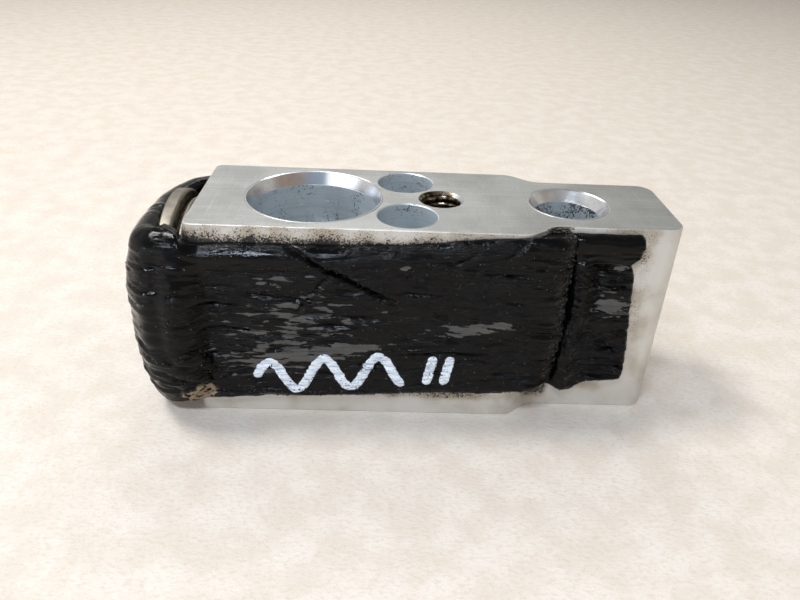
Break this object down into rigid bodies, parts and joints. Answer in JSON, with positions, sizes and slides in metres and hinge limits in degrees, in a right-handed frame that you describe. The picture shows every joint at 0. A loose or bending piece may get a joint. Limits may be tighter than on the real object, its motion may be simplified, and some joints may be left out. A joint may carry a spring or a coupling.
{
  "type": "block-type thermostatic expansion valve",
  "caption": "Aluminium block expansion valve with a diaphragm head at one end, cross ports, a hexagon adjusting screw, and black insulation tape round the head and sides.",
  "frame": {"origin": "middle of the block's flat evaporator face, which the part lies on", "axes": "+Z along the port axes from the evaporator face to the pipe face, +X along the stem from the diaphragm head to the adjusting screw, +Y to the back side"},
  "size_m": [0.0798, 0.0328, 0.031],
  "materials": {
    "anodised_aluminium": "extruded bar, machined faces, satin grey",
    "stainless_sheet": "pressed stainless sheet, smooth, slightly beige",
    "bright_steel": "ground and bright",
    "spring_steel": "drawn wire and thin rolled sheet",
    "brass": "turned, satin",
    "seal_rubber": "matt moulded rubber",
    "butyl_tape": "black film on soft butyl, satin, wrinkled"
  },
  "bodies": {
    "valve_body": {"valve_block": "anodised_aluminium", "head_base": "stainless_sheet", "head_cap": "stainless_sheet", "diaphragm": "spring_steel", "charge_plug": "bright_steel", "head_seal": "seal_rubber", "rod_seal": "seal_rubber", "seal_retainer": "brass", "valve_spring": "spring_steel", "tape_wrap": "butyl_tape", "tape_tail_front": "butyl_tape", "tape_tail_back": "butyl_tape"},
    "stem": {"thrust_pad": "bright_steel", "sensing_rod": "anodised_aluminium", "push_pin": "bright_steel", "valve_ball": "bright_steel", "ball_holder": "brass", "damper_spring": "spring_steel"},
    "adjuster_seal": {"screw_seal": "seal_rubber"},
    "adjuster": {"adjusting_screw": "brass"}
  },
  "joints": [
    {"name": "stem_lift", "type": "slide", "parent": "valve_body", "child": "stem", "axis": [1, 0, 0], "range_m": [0, 0.0008], "stiffness_N_per_m": 5000, "deforming": ["diaphragm", "valve_spring"]},
    {"name": "adjuster_travel", "type": "slide", "parent": "valve_body", "child": "adjuster_seal", "axis": [1, 0, 0], "range_m": [-0.001, 0.001], "deforming": ["valve_spring"]},
    {"name": "adjuster_turn", "type": "hinge", "parent": "adjuster_seal", "child": "adjuster", "pos_m": [0.0338, 0, 0.0155], "axis": [1, 0, 0], "range_deg": [-360, 360]}
  ],
  "couplings": [
    {"joint": "adjuster_turn", "follows": "adjuster_travel", "rad_per_m": 6283.2}
  ]
}
